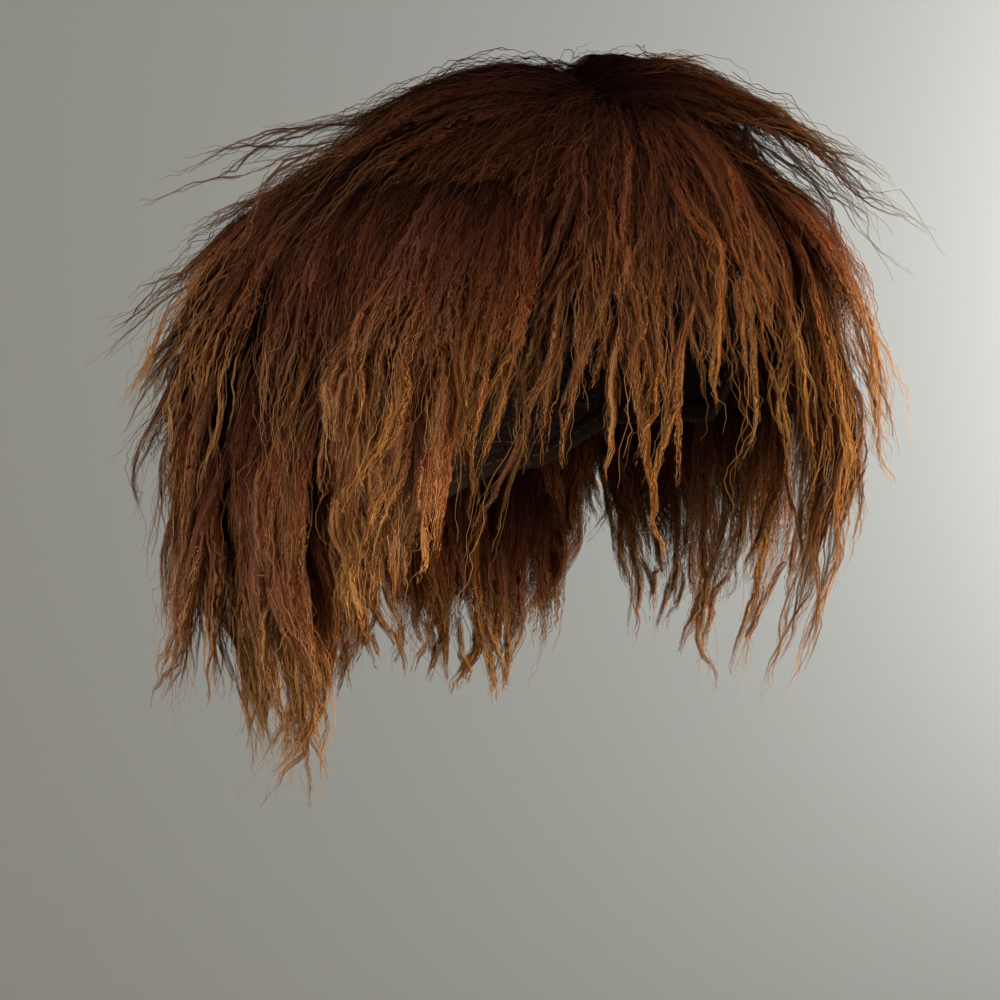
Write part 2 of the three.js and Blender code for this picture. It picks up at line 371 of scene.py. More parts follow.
# A ribbon is drawn as lanes, one for each hair. The lanes sway with the crimp, and open to see-through gaps
# towards the ribbon's sides and end.
CRIMPS_PER_METRE = 340.0
CRIMP_LANES = 5.6
hair_along = hair_attribute("along")
hair_part = hair_attribute("part")
hair_run = hair_attribute("run")
hair_seed = hair_attribute("seed")
hair_lines = hair_attribute("lines")
hair_around = hair_attribute("around")
lane_place = hair_around * hair_lines
wobble = hair_noise(hair_run * CRIMPS_PER_METRE, hair_seed * 7.0 + lane_place * 0.13, 0.0)
lane = lane_place + hair_seed * 13.0 + wobble * CRIMP_LANES
lane_number = lane.sum("FLOOR", lane)
lane_part = lane - lane_number
lane_ridge = 4 * lane_part * (1 - lane_part)
lane_chance = Wire.node(hair_tree, "ShaderNodeTexWhiteNoise", {"noise_dimensions": "1D"}, {"W": lane_number})
lane_parts = Wire.node(hair_tree, "ShaderNodeSeparateColor", {}, {"Color": lane_chance.other("Color")})
has_lanes = between(hair_lines, 1.0, 2.0)
edge = (2 * hair_around - 1).sum("ABSOLUTE", 2 * hair_around - 1)
fray = between(edge, 0.3, 1.0) + between(hair_part, 0.4, 1.0) + hair_attribute("open")
hair_end = between(hair_part + lane_parts.other("Green") * 0.42, 0.98, 1.0, 1.0, 0.0)
hair_start = between(hair_part - lane_parts.other("Blue") * hair_attribute("open") * 0.6, 0.0, 0.02)
hair_gap = between(lane_ridge - fray.sum("MINIMUM", fray, 0.72), 0.0, 0.12)
hair_alpha = 1 - has_lanes + has_lanes * hair_gap * hair_end * hair_start
hair_tree.links.new(hair_alpha.socket, hair_shader.inputs["Alpha"])

# Single hairs cross over the lanes. Bright lanes are lighter hairs with a painted greyish sheen, and dark
# lanes carry a painted red shade.
CROSSINGS_PER_METRE = 60.0
CROSSING_LANES = 18.0
# The root colour is dark hair under painted shade, and the tip colour is light hair with a painted glow of
# light through it.
root_colour_and_shade = (0.012, 0.0034, 0.0018)
middle_colour = (0.098, 0.0268, 0.0086)
tip_colour_and_glow = (0.240, 0.094, 0.022)
cool_tint = (0.95, 1.0, 1.15)
warm_tint = (1.08, 1.0, 0.8)
shade_tint = (1.06, 0.58, 0.41)
sheen_tint = (0.93, 1.22, 1.95)
hair_lower = between(hair_along, 0.12, 0.72)
hair_upper = between(hair_along, 0.45, 1.0)
root_and_shade_part = (1 - hair_lower) * root_colour_and_shade
middle_part = hair_lower * (1 - hair_upper) * middle_colour
tip_and_glow_part = hair_upper * tip_colour_and_glow
cross_bend = hair_noise(hair_run * CROSSINGS_PER_METRE, hair_seed * 3.0 + lane_place * 0.03, 1.0)
cross_lane = lane_place * 0.7 + hair_seed * 5.0 + cross_bend * CROSSING_LANES + wobble * 2.0
cross_number = cross_lane.sum("FLOOR", cross_lane)
cross_part = cross_lane - cross_number
cross_chance = Wire.node(hair_tree, "ShaderNodeTexWhiteNoise", {"noise_dimensions": "1D"}, {
    "W": cross_number})
cross_ridge = between(4 * cross_part * (1 - cross_part), 0.7, 0.95)
cross_hair = cross_ridge * between(cross_chance, 0.35, 0.4) * has_lanes
bright_hair_and_sheen = lane_parts.other("Red") ** 3.0
# Each lane is painted darker towards its edges, as shade between the hairs.
streak = 1.1 - 1.1 * has_lanes + has_lanes * (0.3 + 0.7 * lane_ridge) * (0.45 + 1.5 * bright_hair_and_sheen)
streak = streak * (1 - cross_hair) + cross_hair * (0.6 + 1.3 * cross_chance)
# Inner tufts and the backs are painted darker, as the shade inside the lock, and the tone also carries each
# weft's painted light and shade.
tone_and_painted_shade = hair_attribute("tone") * streak * (0.42 + hair_attribute("depth") * 0.70)
hair_warmth = hair_attribute("warmth")
hair_tint = (1 - hair_warmth) * cool_tint + hair_warmth * warm_tint
lightness = between(streak, 0.2, 1.3)
shade_and_sheen_tint = (1 - lightness) * shade_tint + lightness * sheen_tint
hair_colour = (root_and_shade_part + middle_part + tip_and_glow_part) * tone_and_painted_shade * hair_tint * shade_and_sheen_tint
hair_tree.links.new(hair_colour.socket, hair_shader.inputs["Base Color"])
hair_bump = Wire.node(hair_tree, "ShaderNodeBump", {}, {
    "Strength": 0.5, "Distance": 0.0003, "Height": has_lanes * lane_ridge})
hair_tree.links.new(hair_bump.socket, hair_shader.inputs["Normal"])
hair_shader.inputs["Roughness"].default_value = 0.6
hair_shader.inputs["Specular IOR Level"].default_value = 0.0

HAIR_MIDDLE = (0.0, 0.0, -0.14)
TUFT_FLARE = 0.010
TUFT_RISE = 0.008
TUFT_SWAY = 0.016
TUFT_SWAYS_PER_METRE = 26.0
FIBRE_SWAYS_PER_METRE = 52.0
BACK_STEP = 0.008
CLUMP_STEP = 0.009
WISP_STEP = 0.0045


def make_weft_tree():
    """The Geometry Nodes tree that grows one weft of crimped hair from the centre curves of its locks.

    Each lock has one broad back and a number of tufts. A tuft has one clump, some wisps, which are ribbons of
    hairs, and some single strands.
    """
    tree = bpy.data.node_groups.new("Crimped weft", "GeometryNodeTree")
    for name, kind in (
        ("Locks", "NodeSocketGeometry"),
        ("Tufts", "NodeSocketInt"),
        ("Wisps", "NodeSocketInt"),
        ("Strands", "NodeSocketInt"),
        ("Wisp width", "NodeSocketFloat"),
        ("Strand width", "NodeSocketFloat"),
        ("Strand step", "NodeSocketFloat"),
        ("Crimp", "NodeSocketFloat"),
        ("Frizz", "NodeSocketFloat"),
        ("Fullness", "NodeSocketFloat"),
        ("Bare root", "NodeSocketFloat"),
        ("Shortest", "NodeSocketFloat"),
        ("Body", "NodeSocketFloat"),
        ("Inside", "NodeSocketFloat"),
        ("Painted light and shade", "NodeSocketFloat"),
        ("Seed", "NodeSocketInt"),
        ("Material", "NodeSocketMaterial"),
    ):
        tree.interface.new_socket(name, in_out="INPUT", socket_type=kind)
    tree.interface.new_socket("Hair", in_out="OUTPUT", socket_type="NodeSocketGeometry")
    inlet = tree.nodes.new("NodeGroupInput")
    given = {socket.name: Wire(socket) for socket in inlet.outputs if socket.name}

    def read(name, kind="FLOAT"):
        return Wire.node(tree, "GeometryNodeInputNamedAttribute", {"data_type": kind}, {"Name": name})

    def keep(geometry, kind="FLOAT", **values):
        for name, value in values.items():
            settings = {"data_type": kind, "domain": "POINT"}
            geometry = Wire.node(tree, "GeometryNodeStoreNamedAttribute", settings,
                                 {"Geometry": geometry, "Name": name, "Value": value})
        return geometry

    def chance(purpose, low=0.0, high=1.0):
        return Wire.node(tree, "FunctionNodeRandomValue", {"data_type": "FLOAT"},
                         {2: low, 3: high, 8: given["Seed"] + purpose}, 1)

    def copies(geometry, amount):
        return Wire.node(tree, "GeometryNodeDuplicateElements", {"domain": "POINT"},
                         {"Geometry": geometry, "Amount": amount})

    points = Wire.node(tree, "GeometryNodeMeshToPoints", {}, {"Mesh": given["Locks"]})
    # The backs are painted darker than the tufts, as the shade deep inside the lock.
    backs = keep(points, tuft_across=0.0, tuft_out=0.0, tuft_end=1.0, tuft_flare=0.0, tuft_rise=0.0,
                 warmth=0.5, tuft_tone=0.6, tuft_shift=0.0)
    tufts = copies(points, given["Tufts"])
    tuft_across = (tufts.other("Duplicate Index") + chance(1, 0.0, 1.0)) / given["Tufts"] * 2 - 1
    tufts = keep(tufts, tuft_across=tuft_across, tuft_out=chance(2, -0.8, 1.0),
                 tuft_end=1.04 - chance(3) ** 0.6 * given["Shortest"], tuft_flare=chance(4, -1, 1),
                 tuft_rise=chance(5, -0.6, 1), warmth=chance(6), tuft_tone=chance(7, 0.8, 1.15),
                 tuft_shift=chance(8, -40, 40))
    wisp_count = given["Wisps"] * (0.8 + 0.3 * read("tuft_out"))
    strand_count = given["Strands"] * (0.75 + 0.35 * read("tuft_out"))

    layers = []
    for layer, purpose, parents, amount, step, sides, flat, lines, opened, crimped in (
        ("back", 100, backs, 1, BACK_STEP, 8, 0.3, 100.0, 0.0, 0.0),
        ("clump", 150, tufts, 1, CLUMP_STEP, 8, 0.4, 34.0, 0.0, 0.0),
        ("wisp", 200, tufts, wisp_count, WISP_STEP, 3, 0.22, 11.0, 0.45, 0.2),
        ("strand", 300, tufts, strand_count, given["Strand step"], 3, 1.0, 1.0, 0.0, 1.0),
    ):
        fibres = copies(parents, amount)
        fibres = keep(fibres, "INT", fibre=Wire.node(tree, "GeometryNodeInputIndex"))
        bare = given["Bare root"]
        loose = 0.0
        flip = 1.0
        if layer == "back":
            start, end, place_across, place_out = 0.0, 0.62, 0.0, -0.25
        elif layer == "clump":
            start, end, place_across, place_out = bare * 0.7, read("tuft_end") * given["Body"], 0.0, -0.1
        else:
            inner = chance(purpose + 13)
            flip = 1 - 2 * inner.sum("LESS_THAN", inner, given["Inside"])
            middle = chance(purpose + 1) ** 0.85
            reach = chance(purpose + 2, 0.15, 0.27)
            start = bare + (read("tuft_end") - bare) * (middle - reach)
            start = start.sum("MAXIMUM", start, bare)
            end = bare + (read("tuft_end") - bare) * (middle + reach)
            end = end.sum("MINIMUM", end, read("tuft_end") * chance(purpose + 12, 0.96, 1.05))
            place_across = chance(purpose + 3, -1.15, 1.15)
            place_out = 1 - 0.75 * place_across * place_across + chance(purpose + 4, -0.2, 0.3)
            if layer == "strand":
                loose = chance(purpose + 9) ** 3
                place_out = place_out + 0.25 + 2.2 * loose
        steps = (end - start) * read("length") / step + 1
        fibres = keep(fibres, u=place_across, v=place_out * flip, flip=flip, start=start, end=end,
                      steps=steps.sum("CEIL", steps),
                      # A fibre's tone is its tuft's and its own at random, with the painted shade of the
                      # backs and the weft's painted light and shade.
                      tone=read("tuft_tone") * chance(purpose + 5, 0.75, 1.2) * given["Painted light and shade"],
                      bend_angle=chance(purpose + 6, 0, 2 * math.pi), size=chance(purpose + 11, 0.7, 1.2),
                      shift=chance(purpose + 7, -40, 40), seed=chance(purpose + 8, 0, 60), stray=loose)

        # Each fibre follows its lock's curve, in the frame of the curve: forward, across and outward.
        dots = copies(fibres, read("steps") + 1)
        place = dots.other("Duplicate Index")
        run = place / read("steps")
        share = read("start") + (read("end") - read("start")) * run
        left = 1 - share
        root, out, into, tip = (read(name, "FLOAT_VECTOR") for name in ("root", "bend_out", "bend_in", "tip"))
        centre = (root * (left * left * left) + out * (3 * left * left * share)
                  + into * (3 * left * share * share) + tip * (share * share * share))
        forward = ((out - root) * (left * left) + (into - out) * (2 * left * share)
                   + (tip - into) * (share * share))
        forward = forward.sum("NORMALIZE", forward)
        away = centre - HAIR_MIDDLE
        outward = away - forward * away.sum("DOT_PRODUCT", away, forward)
        outward = outward.sum("NORMALIZE", outward)
        across = forward.sum("CROSS_PRODUCT", forward, outward)

        # The lock widens and then narrows, and a tuft gathers towards its own end.
        narrow = share.sum("MINIMUM", share, 1.0)
        wide = (0.5 + 0.8 * share) * (1 - narrow ** (2.6 if layer == "back" else 4.5))
        thick = (0.45 + 0.9 * share) * (1 - narrow ** 2.2)
        own = share / read("tuft_end")
        gather = (1 - 0.42 * own ** 2.6) * (wide + 0.14) * read("half_width")
        gather = gather / given["Tufts"] * given["Fullness"]
        side = (read("half_width") * (wide + 0.1) * read("tuft_across") + gather * read("u")
                + read("tuft_flare") * own * own * TUFT_FLARE)
        free = between(share, 0.15, 0.8)
        level = ((1 - free) * (0.9 - 0.5 * read("tuft_across") * read("tuft_across")) * read("flip")
                 + free * read("tuft_out"))
        if layer == "back":
            level = read("tuft_out")
        rise = (read("half_thickness") * thick * level + gather * 0.4 * read("v")
                + read("tuft_rise") * own * own * TUFT_RISE)
        turn = read("bend_angle")
        if layer in ("wisp", "strand"):
            zigzag = (1 - 2 * (place % 2)) * given["Crimp"] * chance(purpose + 10, 0.3, 1.6) * crimped
            side = side + zigzag * turn.sum("COSINE", turn)
            rise = rise + zigzag * turn.sum("SINE", turn)
        spot = centre + across * side + outward * rise

        # Tufts sway as one, and wisps and strands also each on their own. The back stays on its curve.
        sways = []
        if layer != "back":
            sways.append((read("tuft_shift"), TUFT_SWAYS_PER_METRE, 0.0, TUFT_SWAY * free))
        if layer in ("wisp", "strand"):
            frizz = given["Frizz"] * (0.4 + 0.7 * own) * (1 + 2 * read("stray"))
            sways.append((read("shift"), FIBRE_SWAYS_PER_METRE, 2.5, frizz))
        for shift, scale, detail, size in sways:
            moved = Wire.node(tree, "ShaderNodeCombineXYZ", {}, {0: shift, 1: shift * 1.7, 2: shift * 2.3})
            wander = Wire.node(tree, "ShaderNodeTexNoise", {}, {
                "Vector": centre + moved, "Scale": scale, "Detail": detail, "Roughness": 0.6}, "Color")
            spot = spot + (wander - (0.5, 0.5, 0.5)) * size

        # What would lie inside the cap is pushed out to its surface.
        level = (spot - FORM_MIDDLE) / (
            FORM_HALF_WIDTH + LIFT_OFF_FORM, FORM_HALF_DEPTH + LIFT_OFF_FORM, FORM_RISE + LIFT_OFF_FORM)
        inside = 1 / level.sum("LENGTH", level)
        push = inside.sum("MAXIMUM", inside, 1.0)
        spot = (spot - FORM_MIDDLE) * push + FORM_MIDDLE

        if layer == "back":
            girth = read("half_width") * wide * (1 - 0.93 * run ** 4) * (0.1 + 0.9 * between(run, 0.0, 0.25))
        elif layer == "clump":
            girth = gather * 1.1 * (0.1 + 0.9 * between(run, 0.0, 0.2))
        elif layer == "wisp":
            girth = given["Wisp width"] * 0.5 * read("size") * (1 - 0.5 * run ** 3)
            girth = girth * (0.4 + 0.6 * between(run, 0.0, 0.3))
        else:
            girth = given["Strand width"] * 0.5 * read("size") * (1 - 0.6 * run ** 3)
        dots = Wire.node(tree, "GeometryNodeSetPosition", {}, {"Geometry": dots, "Position": spot})
        dots = keep(dots, along=share, part=run, run=share * read("length"), depth=(read("tuft_out") + 1) / 2,
                    lines=lines, open=opened, girth=girth)
        curves = Wire.node(tree, "GeometryNodePointsToCurves", {}, {
            0: dots, 1: read("fibre", "INT"), 2: place})
        curves = Wire.node(tree, "GeometryNodeSetCurveNormal", {"mode": "FREE"}, {
            "Curve": curves, "Normal": outward})
        section = Wire.node(tree, "GeometryNodeCurvePrimitiveCircle", {}, {
            "Resolution": sides, "Radius": 1.0})
        section = Wire.node(tree, "GeometryNodeTransform", {}, {
            "Geometry": section, "Scale": (flat, 1.0, 1.0)})
        section_place = Wire.node(tree, "ShaderNodeSeparateXYZ", {}, {
            0: Wire.node(tree, "GeometryNodeInputPosition")}, "Y")
        section = keep(section, around=section_place * 0.5 + 0.5)
        layers.append(Wire.node(tree, "GeometryNodeCurveToMesh", {}, {
            "Curve": curves, "Profile Curve": section, "Scale": read("girth"), "Fill Caps": True}))

    joined = tree.nodes.new("GeometryNodeJoinGeometry")
    for made in layers:
        tree.links.new(made.socket, joined.inputs[0])
    smooth = Wire.node(tree, "GeometryNodeSetShadeSmooth", {}, {"Geometry": Wire(joined.outputs[0])})
    real = Wire.node(tree, "GeometryNodeRealizeInstances", {}, {"Geometry": smooth})
    done = Wire.node(tree, "GeometryNodeSetMaterial", {}, {"Geometry": real, "Material": given["Material"]})
    outlet = tree.nodes.new("NodeGroupOutput")
    tree.links.new(done.socket, outlet.inputs["Hair"])
    return tree


weft_tree = make_weft_tree()
# A weft's painted light and shade makes its hair lighter where light falls on it and darker where shade lies;
# it is 1 where neither is painted.
USUAL_FIBRES = {
    "Tufts": 7, "Wisps": 7, "Strands": 8,
    "Wisp width": 0.0040, "Strand width": 0.00030, "Strand step": 0.0036,
    "Crimp": 0.00045, "Frizz": 0.010, "Fullness": 2.7,
    "Bare root": 0.0, "Shortest": 0.22, "Body": 0.76, "Inside": 0.0,
    "Painted light and shade": 1.0, "Material": hair,
}
FIBRE_MARKS = ("position", "along", "part", "run", "depth", "lines", "open", "seed", "tone", "warmth",
               "around")


def chance_of(lock, purpose):
    """A fixed chance from 0 to 1 for one lock."""
    wave = math.sin(lock * 127.1 + purpose * 311.7) * 43758.5453
    return wave - math.floor(wave)


def lock_guide(lock, tilt):
    """The centre curve of a lock: four points of a bend from its root on the cap to its tip."""
    place = (lock["turn"], lock["fall"])
    root = form_point(*place, LIFT_OFF_FORM, tilt)
    slope = form_point(place[0], place[1] + 1, LIFT_OFF_FORM, tilt) - root
    normal = form_point(*place, LIFT_OFF_FORM + 0.001, tilt) - root
    slope /= np.linalg.norm(slope)
    normal /= np.linalg.norm(normal)
    tip = form_point(lock["tip_turn"], 90, lock["reach"])
    outward = np.array([tip[0], tip[1], 0.0])
    outward /= np.linalg.norm(outward)
    tip[2] = -lock["drop"]
    lift, flick = math.radians(lock["lift"]), math.radians(lock["flick"])
    start = slope * math.cos(lift) + normal * math.sin(lift)
    end = outward * math.sin(flick) - np.array([0.0, 0.0, math.cos(flick)])
    bend = BEND_SHARE * np.linalg.norm(root - tip)
    return root, root + start * bend, tip - end * bend, tip


def sew_weft(name, row, turns, locks, fall, reach, drops, lift, flick, half_width, half_thickness, uneven,
             fibres, strays=(), tilt=0, sweep=0):
    """Makes one weft: the curves of its locks, and from them the hair as one plain mesh.

    Turns and drops are those of the row's two ends. A stray is a lock beside the row, with its turn, its
    tip's turn, reach, drop, flick and half width and, where they aren't the row's, its lift and fall.
    """
    usual = {"lift": lift, "flick": flick, "fall": fall}
    pitch = (turns[1] - turns[0]) / locks
    made = []
    for i in range(locks):
        by_turn, by_reach, by_drop, by_width, by_swing = (
            uneven * (2 * chance_of(MOST_LOCKS * row + i, purpose) - 1) for purpose in range(1, 6))
        turn = turns[0] + pitch * (i + 0.5 + UNEVEN_TURN * by_turn)
        made.append({
            **usual,
            "turn": turn,
            "tip_turn": turn + sweep + UNEVEN_SWING * by_swing,
            "reach": reach + UNEVEN_REACH * by_reach,
            "drop": drops[0] + (drops[1] - drops[0]) * (i + 0.5) / locks + UNEVEN_DROP * by_drop,
            "half_width": half_width * (1 + UNEVEN_WIDTH * by_width),
        })
    labels = ("turn", "tip_turn", "reach", "drop", "flick", "half_width", "lift", "fall")
    made += [{**usual, **dict(zip(labels, stray))} for stray in strays]

    curves = np.array([lock_guide(lock, tilt) for lock in made])
    share = np.linspace(0, 1, CURVE_STEPS)[:, None, None]
    left = 1 - share
    line = (left**3 * curves[:, 0] + 3 * left**2 * share * curves[:, 1]
            + 3 * left * share**2 * curves[:, 2] + share**3 * curves[:, 3])
    lengths = np.linalg.norm(np.diff(line, axis=0), axis=2).sum(0)
    widths = [lock["half_width"] for lock in made]
    thicknesses = [half_thickness] * len(made)

    mesh = bpy.data.meshes.new(name)
    mesh.vertices.add(len(made))
    mesh.vertices.foreach_set("co", curves[:, 0].ravel())
    for column, label in enumerate(("root", "bend_out", "bend_in", "tip")):
        marks = mesh.attributes.new(label, "FLOAT_VECTOR", "POINT")
        marks.data.foreach_set("vector", curves[:, column].ravel())
    for label, values in (("length", lengths), ("half_width", widths), ("half_thickness", thicknesses)):
        mesh.attributes.new(label, "FLOAT", "POINT").data.foreach_set("value", np.array(values, float))
    piece = bpy.data.objects.new(name.replace("weft", "hair"), mesh)
    bpy.context.scene.collection.objects.link(piece)
    grown = grow(piece, weft_tree, {**USUAL_FIBRES, "Seed": 1000 * (row + 1), **fibres})
    grown.name = piece.name
    spare = [a.name for a in grown.attributes if a.name not in FIBRE_MARKS and not a.name.startswith(".")]
    for label in spare:
        if not grown.attributes[label].is_required:
            grown.attributes.remove(grown.attributes[label])
    grown.materials.clear()
    grown.materials.append(hair)
    piece.data = grown
    bpy.data.meshes.remove(mesh)
    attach(piece, "root")
    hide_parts(name)


LOWER_FIBRES = {"Tufts": 8, "Inside": 0.3, "Shortest": 0.08, "Body": 0.90}
sew_weft(
    "nape_weft", row=11, turns=(130, 230), locks=6, fall=104, reach=0.022, drops=(0.236, 0.236),
    lift=44, flick=0, half_width=0.020, half_thickness=0.007, uneven=0.6,
    fibres={**LOWER_FIBRES, "Bare root": 0.3, "Strands": 6},
)


# Back lower weft
# A long weft of eight locks across the back from side to side, stitched on above the nape row.
# It is of the same crimped fibre, and three more locks at its right end make the tail.

back_lower_strays = (
    (269, 264, 0.033, 0.245, 32, 0.018),
    (264, 270, 0.028, 0.240, -4, 0.020),
    (246, 252, 0.044, 0.216, -2, 0.022),
)
sew_weft(
    "back_lower_weft", row=10, turns=(106, 256), locks=8, fall=86, reach=0.050, drops=(0.214, 0.221),
    lift=60, flick=4, half_width=0.023, half_thickness=0.008, uneven=0.6,
    fibres={**LOWER_FIBRES, "Bare root": 0.25, "Strands": 7},
    strays=back_lower_strays,
)


# Left lower weft
# A short weft of four locks, stitched low on the cap's left side, shortest in front and longest behind.
# It is of the same crimped fibre, painted lighter where the light falls on it, and one thin lock hangs at its
# front end.

left_lower_strays = ((60, 58, 0.014, 0.216, -16, 0.011),)
sew_weft(
    "left_lower_weft", row=9, turns=(54, 104), locks=4, fall=68, reach=0.034, drops=(0.142, 0.228),
    lift=58, flick=-12, half_width=0.019, half_thickness=0.007, uneven=0.6,
    fibres={**LOWER_FIBRES, "Bare root": 0.25, "Painted light and shade": 1.35},
    strays=left_lower_strays,
)


# Right lower weft
# A short weft of four locks, stitched low on the cap's right side and combed back, longest behind.
# It is of the same crimped fibre, and two more locks fill the row.

right_lower_strays = (
    (-63, -69, 0.022, 0.150, -4, 0.018),
    (-92, -97, 0.026, 0.226, -6, 0.020),
)
sew_weft(
    "right_lower_weft", row=8, turns=(-104, -56), locks=4, fall=68, reach=0.027, drops=(0.250, 0.150),
    lift=48, flick=-6, half_width=0.018, half_thickness=0.007, uneven=0.6,
    fibres={**LOWER_FIBRES, "Bare root": 0.25},
    strays=right_lower_strays, sweep=-5,
)


# Back middle weft
# A weft of eight broad locks across the back, stitched on half-way up, which gives the back its body.
# It is of the same crimped fibre, thick to its tips.

sew_weft(
    "back_middle_weft", row=7, turns=(110, 250), locks=8, fall=64, reach=0.060, drops=(0.168, 0.168),
    lift=54, flick=14, half_width=0.024, half_thickness=0.008, uneven=0.8,
    fibres={**LOWER_FIBRES, "Bare root": 0.2, "Strands": 6},
)


# Back upper weft
# A weft of eight locks high on the back, stitched on below the crown, with tips that flick outward.
# It is of the same crimped fibre, and of its three more locks two stand out as spikes.

back_upper_strays = (
    (230, 230, 0.090, 0.094, 58, 0.013),
    (240, 240, 0.082, 0.122, 46, 0.012),
    (194, 195, 0.050, 0.085, 35, 0.020),
)
sew_weft(
    "back_upper_weft", row=6, turns=(107, 253), locks=8, fall=36, reach=0.062, drops=(0.120, 0.120),
    lift=30, flick=32, half_width=0.024, half_thickness=0.007, uneven=0.9,
    # Its hair is painted a little darker, as shade.
    fibres={"Bare root": 0.12, "Painted light and shade": 0.9, "Strands": 6},
    strays=back_upper_strays,
)


# Left upper weft
# A weft of five locks on the cap's left side, stitched on below the crown, full and lifted off the cap.
# It is of the same crimped fibre, painted lighter where the light falls on it. Five more locks close it to
# the fringe and the back.

left_upper_strays = (
    (106, 109, 0.058, 0.130, 16, 0.021),
    (58, 60, 0.040, 0.124, 8, 0.020, 40),
    (68, 70, 0.044, 0.118, 10, 0.018, 40),
    (45, 47, 0.024, 0.148, 0, 0.020, 36, 28),
    (51, 53, 0.034, 0.146, 3, 0.020, 38, 30),
)
sew_weft(
    "left_upper_weft", row=5, turns=(44, 104), locks=5, fall=38, reach=0.047, drops=(0.130, 0.130),
    lift=50, flick=14, half_width=0.020, half_thickness=0.007, uneven=0.8,
    fibres={"Bare root": 0.12, "Painted light and shade": 1.32},
    strays=left_upper_strays,
)


# Right upper weft
# A weft of five locks on the cap's right side, stitched on below the crown and combed a little back.
# It is of the same crimped fibre with more single hairs. Two more locks close it to the fringe and the back.

right_upper_strays = (
    (-107, -109, 0.052, 0.138, 12, 0.021),
    (-51, -58, 0.034, 0.150, 4, 0.019),
)
sew_weft(
    "right_upper_weft", row=4, turns=(-104, -54), locks=5, fall=38, reach=0.048, drops=(0.140, 0.140),
    lift=44, flick=10, half_width=0.020, half_thickness=0.007, uneven=0.8,
    # Its hair is painted a little darker, as shade.
    fibres={"Bare root": 0.12, "Painted light and shade": 0.85, "Strands": 12},
    strays=right_upper_strays, sweep=-3,
)


# Back crown weft
# The top hair behind the whorl: a weft of seven locks, stitched on there and combed back over the rows below.
# It is of the same crimped fibre, painted darker as the shade on the crown, with two thin spikes. Its roots
# cross the whorl's middle.

back_crown_strays = (
    (231, 231, 0.066, 0.024, 80, 0.008),
    (238, 238, 0.080, 0.070, 64, 0.009),
)
sew_weft(
    "back_crown_weft", row=3, turns=(114, 246), locks=7, fall=-10, reach=0.052, drops=(0.080, 0.080),
    lift=-3, flick=48, half_width=0.024, half_thickness=0.007, uneven=1.0,
    fibres={"Painted light and shade": 0.48, "Strands": 6},
    strays=back_crown_strays, tilt=WHORL_TILT,
)


# Right crown weft
# The top hair to the right of the whorl: a weft of four locks, stitched on there, which fall over the side.
# It is of the same crimped fibre, painted darker as the shade on the crown, and four flatter locks lie among
# them and cover the net.

right_crown_strays = (
    (-66, -68, 0.022, 0.092, 10, 0.019, 34),
    (-84, -87, 0.026, 0.086, 14, 0.021, 34),
    (-102, -106, 0.030, 0.080, 20, 0.022, 34),
    (-122, -127, 0.036, 0.078, 28, 0.023, 22),
)
sew_weft(
    "right_crown_weft", row=2, turns=(-110, -58), locks=4, fall=-9, reach=0.038, drops=(0.088, 0.106),
    lift=38, flick=26, half_width=0.019, half_thickness=0.007, uneven=1.0,
    fibres={"Painted light and shade": 0.36, "Strands": 10},
    strays=right_crown_strays, tilt=WHORL_TILT,
)


# Left crown weft
# The top hair to the left of the whorl: a weft of five locks, stitched on there, with tips that flick out.
# It is of the same crimped fibre, painted darker as the shade on the crown. Of its eight more locks, some
# make the spikes that stand off to the left, and some lie over the whorl and cover the roots of the other
# rows.

left_crown_strays = (
    (54, 54, 0.080, 0.052, 60, 0.017),
    (58, 58, 0.066, 0.056, 48, 0.018),
    (40, 40, 0.030, 0.008, 80, 0.010),
    (36, 36, -0.005, -0.010, 70, 0.013, 50),
    (62, 64, 0.030, 0.078, 30, 0.018, 40),
    (68, 68, -0.016, 0.000, 60, 0.016, 36),
    (118, 118, -0.034, -0.008, 75, 0.017, 34),
    (-140, -140, -0.054, -0.002, 75, 0.017, 24),
)
sew_weft(
    "left_crown_weft", row=1, turns=(44, 110), locks=5, fall=-9, reach=0.041, drops=(0.066, 0.066),
    lift=60, flick=44, half_width=0.018, half_thickness=0.007, uneven=1.0,
    fibres={"Painted light and shade": 0.36, "Strands": 7},
    strays=left_crown_strays, tilt=WHORL_TILT,
)


# Fringe weft
# The front row: a weft of nine locks, stitched on at the whorl and combed forward over the cap's front edge.
# It is of the same crimped fibre, thinned to uneven points. Six narrower locks hang among them, most longer.

fringe_strays = (
    (-40, -54, 0.013, 0.176, -2, 0.009),
    (-9, -11, 0.010, 0.160, -4, 0.009),
    (-64, -66, 0.016, 0.160, -2, 0.014),
    (-26, -28, 0.010, 0.128, -4, 0.016),
    (-48, -58, 0.014, 0.150, -3, 0.014),
    (-34, -40, 0.012, 0.146, -3, 0.012),
)
sew_weft(
    "fringe_weft", row=0, turns=(-66, 50), locks=9, fall=-4, reach=0.011, drops=(0.144, 0.140),
    lift=52, flick=-5, half_width=0.017, half_thickness=0.005, uneven=0.8,
    # Its hair is painted darker, as shade.
    fibres={"Tufts": 10, "Shortest": 0.46, "Fullness": 2.8, "Strands": 7, "Painted light and shade": 0.8},
    strays=fringe_strays, tilt=WHORL_TILT,
)


# Stage
# A grey floor that curves up into a round wall, well below the wig, which has no foot to stand on.
# Four soft lights, one of them on the wall, and the camera of the photo.

